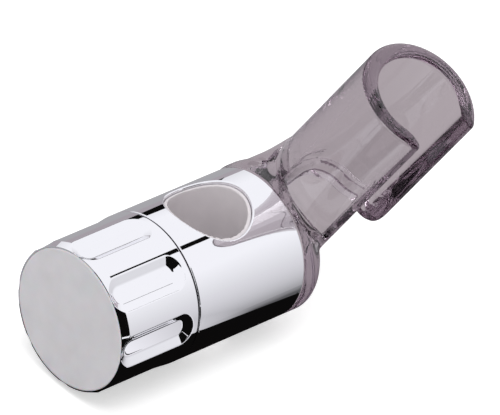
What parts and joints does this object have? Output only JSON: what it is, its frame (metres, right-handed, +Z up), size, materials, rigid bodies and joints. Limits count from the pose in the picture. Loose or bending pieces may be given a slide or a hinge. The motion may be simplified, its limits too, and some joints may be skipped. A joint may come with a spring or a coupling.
{
  "type": "shower rail slider",
  "caption": "Chromed cross-barrel slider that clamps on a riser rail by a fluted end knob and holds a handset in a clear swivelling C cradle.",
  "frame": {"origin": "where the axis of the rail bore crosses the axis of the barrel", "axes": "+Z up along the rail, +X along the barrel from the knob to the cradle, -Y towards the user"},
  "size_m": [0.1001, 0.0577, 0.0822],
  "materials": {
    "chrome": "polished",
    "cap_plastic": "satin",
    "core_plastic": "matte",
    "liner_plastic": "matte",
    "clear_plastic": "polished",
    "acetal": "smooth",
    "rubber": "matte",
    "brass": "machined",
    "steel": "zinc plated"
  },
  "bodies": {
    "barrel": {"sleeve": "chrome", "core": "core_plastic", "rail_liner": "liner_plastic", "screw_nut": "brass", "spring_washer": "steel", "glide_ring": "acetal"},
    "shoe": {"brake_shoe": "acetal", "shoe_pad": "rubber"},
    "knob": {"knob": "chrome", "knob_cap": "cap_plastic", "clamp_screw": "steel"},
    "cradle": {"cradle": "clear_plastic", "pivot_screw": "steel", "pivot_washer": "steel", "friction_ring": "rubber"}
  },
  "joints": [
    {"name": "shoe_slide", "type": "slide", "parent": "barrel", "child": "shoe", "axis": [1, 0, 0], "range_m": [-0.00126, 0.00021]},
    {"name": "knob_turn", "type": "hinge", "parent": "shoe", "child": "knob", "pos_m": [-0.03, 0, 0], "axis": [1, 0, 0], "range_deg": [-360, 60]},
    {"name": "cradle_swivel", "type": "hinge", "parent": "barrel", "child": "cradle", "pos_m": [0.0185, 0, 0], "axis": [1, 0, 0], "range_deg": [-40, 50]}
  ],
  "couplings": [
    {"joint": "shoe_slide", "follows": "knob_turn", "m_per_rad": 0.00019894}
  ]
}
